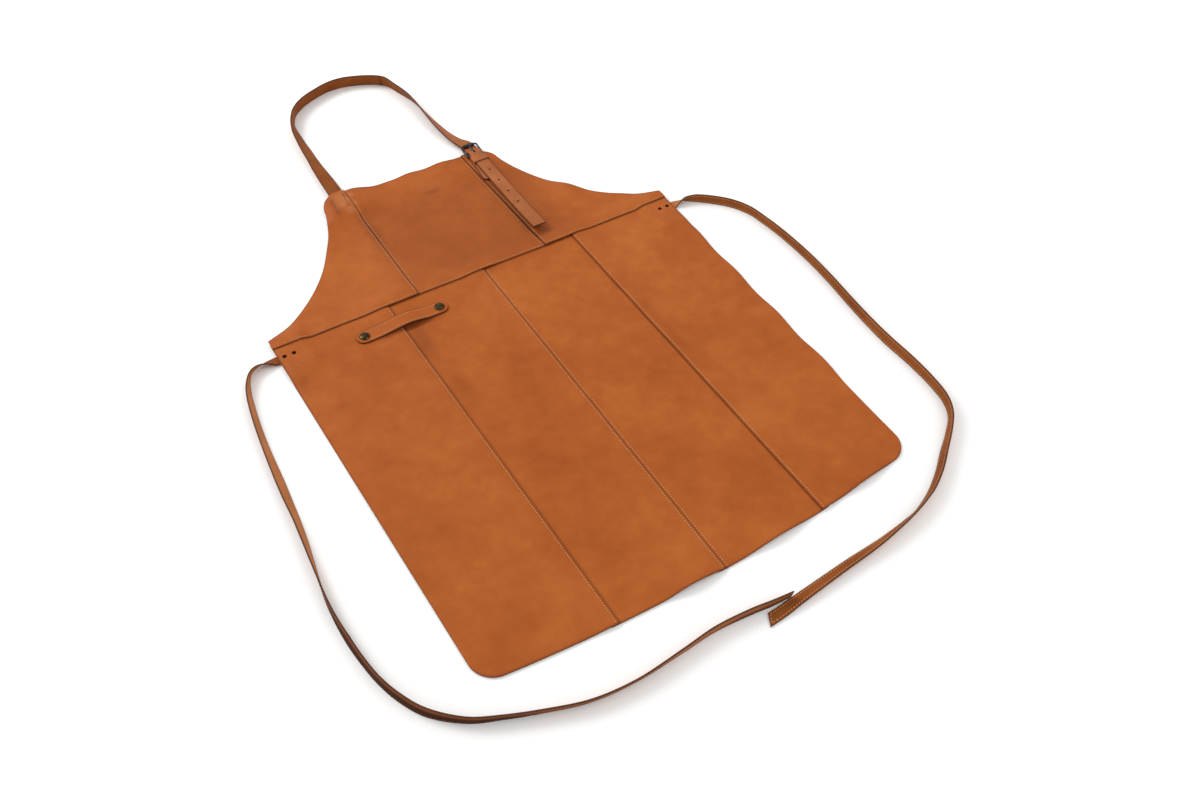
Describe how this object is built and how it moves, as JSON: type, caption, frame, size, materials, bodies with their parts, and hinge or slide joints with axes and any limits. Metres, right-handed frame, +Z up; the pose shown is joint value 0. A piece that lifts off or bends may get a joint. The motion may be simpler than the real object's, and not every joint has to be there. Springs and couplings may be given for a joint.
{
  "type": "leather apron",
  "caption": "Tan leather apron lying flat: panelled skirt and bib, neck strap with roller buckle, long waist ties and a towel loop.",
  "frame": {"origin": "on the surface the apron lies on, midway between its sides and midway between the hem and the top of the neck loop", "axes": "+X across the apron to the wearer's left, +Y from the hem to the neck, +Z up from the surface, out of the front"},
  "size_m": [0.7717, 1.1768, 0.0214],
  "materials": {
    "panel_leather": "tan pull-up leather, softly mottled, satin",
    "strap_leather": "stitched strap leather, a little darker, matt",
    "buckle_metal": "dark gunmetal plating, polished",
    "snap_metal": "antique brass, dull"
  },
  "bodies": {
    "root": {"skirt_panel_1": "panel_leather", "skirt_panel_2": "panel_leather", "skirt_panel_3": "panel_leather", "skirt_panel_4": "panel_leather", "bib_left": "panel_leather", "bib_centre": "panel_leather", "bib_right": "panel_leather", "waist_patch_left": "panel_leather", "waist_patch_right": "panel_leather", "waist_tie_left": "strap_leather", "waist_tie_right": "strap_leather", "neck_strap": "strap_leather", "buckle_chape": "strap_leather", "strap_keeper": "strap_leather", "buckle_frame": "buckle_metal", "buckle_roller": "buckle_metal", "buckle_prong": "buckle_metal", "towel_loop": "panel_leather", "snap_cap_left": "snap_metal", "snap_cap_right": "snap_metal"}
  },
  "joints": []
}
